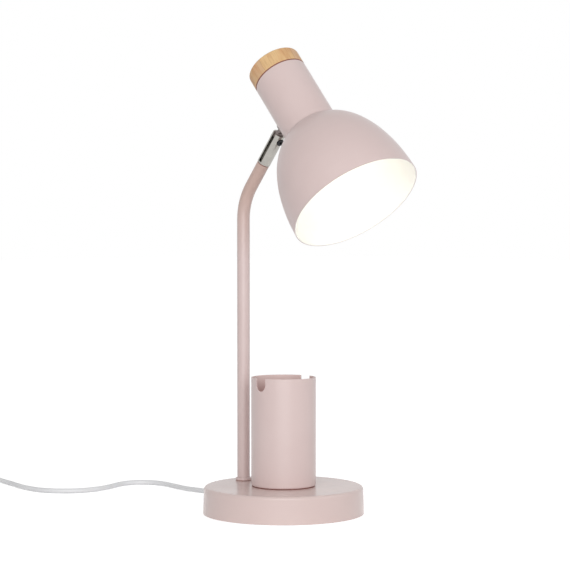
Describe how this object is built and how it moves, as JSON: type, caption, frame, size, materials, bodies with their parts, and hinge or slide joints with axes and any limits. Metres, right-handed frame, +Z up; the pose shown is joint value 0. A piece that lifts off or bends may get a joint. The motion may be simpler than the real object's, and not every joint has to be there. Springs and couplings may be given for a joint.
{
  "type": "desk lamp with pen holder",
  "caption": "Desk lamp on a weighted round base with a bent stem, a tilting spun shade with a wooden cap, a notched pen cup and a mains cord with an in-line switch.",
  "frame": {"origin": "centre of the base's underside, on the surface that the lamp stands on", "axes": "+Z up; +X the way the lamp leans and shines; +Y completes the right-handed frame"},
  "size_m": [0.6704, 0.2336, 0.432],
  "materials": {
    "pink_paint": "smooth dusty pink powder coat, satin",
    "light_wood": "turned light hardwood, clear matt lacquer",
    "chrome": "turned steel, bright chrome plate",
    "dark_steel": "turned steel, dark satin plate",
    "black_screw": "blackened steel socket screw",
    "plain_steel": "zinc plated steel",
    "cast_iron": "as-cast grey iron",
    "pad_felt": "dark needled felt",
    "gasket_rubber": "thin dark brown rubber",
    "inner_cable": "smooth light grey sheath",
    "holder_plastic": "moulded white thermoset",
    "contact_brass": "bright pressed brass",
    "pin_nickel": "nickel plated brass",
    "bulb_cap_metal": "bright screw cap",
    "opal_glass": "opal white glass",
    "cord_rubber": "white flexible sheath, satin",
    "switch_plastic": "moulded white plastic, fine texture",
    "tie_fabric": "light grey hook-and-loop strap"
  },
  "bodies": {
    "base": {"foot_pad": "pad_felt", "base_plate": "plain_steel", "plate_screws": "plain_steel", "base_shell": "pink_paint", "base_weight": "cast_iron", "stem_washer": "plain_steel", "stem_nut": "plain_steel", "stem_nipple": "plain_steel", "stem_collar": "pink_paint", "stem_tube": "pink_paint", "stem_cable": "inner_cable", "cup_gasket": "gasket_rubber", "pen_cup": "pink_paint", "cup_screws": "plain_steel", "clamp_body": "chrome", "clamp_screw": "black_screw", "clamp_nut": "plain_steel", "cord_grip": "cord_rubber", "cord_lead": "cord_rubber", "switch_base": "switch_plastic", "switch_cover": "switch_plastic", "switch_screws": "plain_steel", "cord_tail": "cord_rubber", "cord_coil": "cord_rubber", "cord_tie": "tie_fabric", "plug_lead": "cord_rubber", "plug_body": "switch_plastic", "plug_pins": "pin_nickel"},
    "head": {"head_lug": "dark_steel", "lug_washer": "plain_steel", "lug_nut": "plain_steel", "shade": "pink_paint", "wood_cap": "light_wood", "cap_screws": "plain_steel", "holder_nipple": "plain_steel", "nipple_nut": "plain_steel", "lampholder_body": "holder_plastic", "lampholder_sleeve": "contact_brass", "centre_contact": "contact_brass", "bulb_cap": "bulb_cap_metal", "bulb_globe": "opal_glass", "head_cable": "inner_cable"},
    "rocker": {"switch_rocker": "switch_plastic"}
  },
  "joints": [
    {"name": "head_tilt", "type": "hinge", "parent": "base", "child": "head", "pos_m": [-0.00598, 0, 0.35246], "axis": [0, 1, 0], "range_deg": [-50, 27]},
    {"name": "switch_rocker", "type": "hinge", "parent": "base", "child": "rocker", "pos_m": [-0.423, -0.066, 0.013], "axis": [0, 1, 0], "range_deg": [0, 18]}
  ]
}
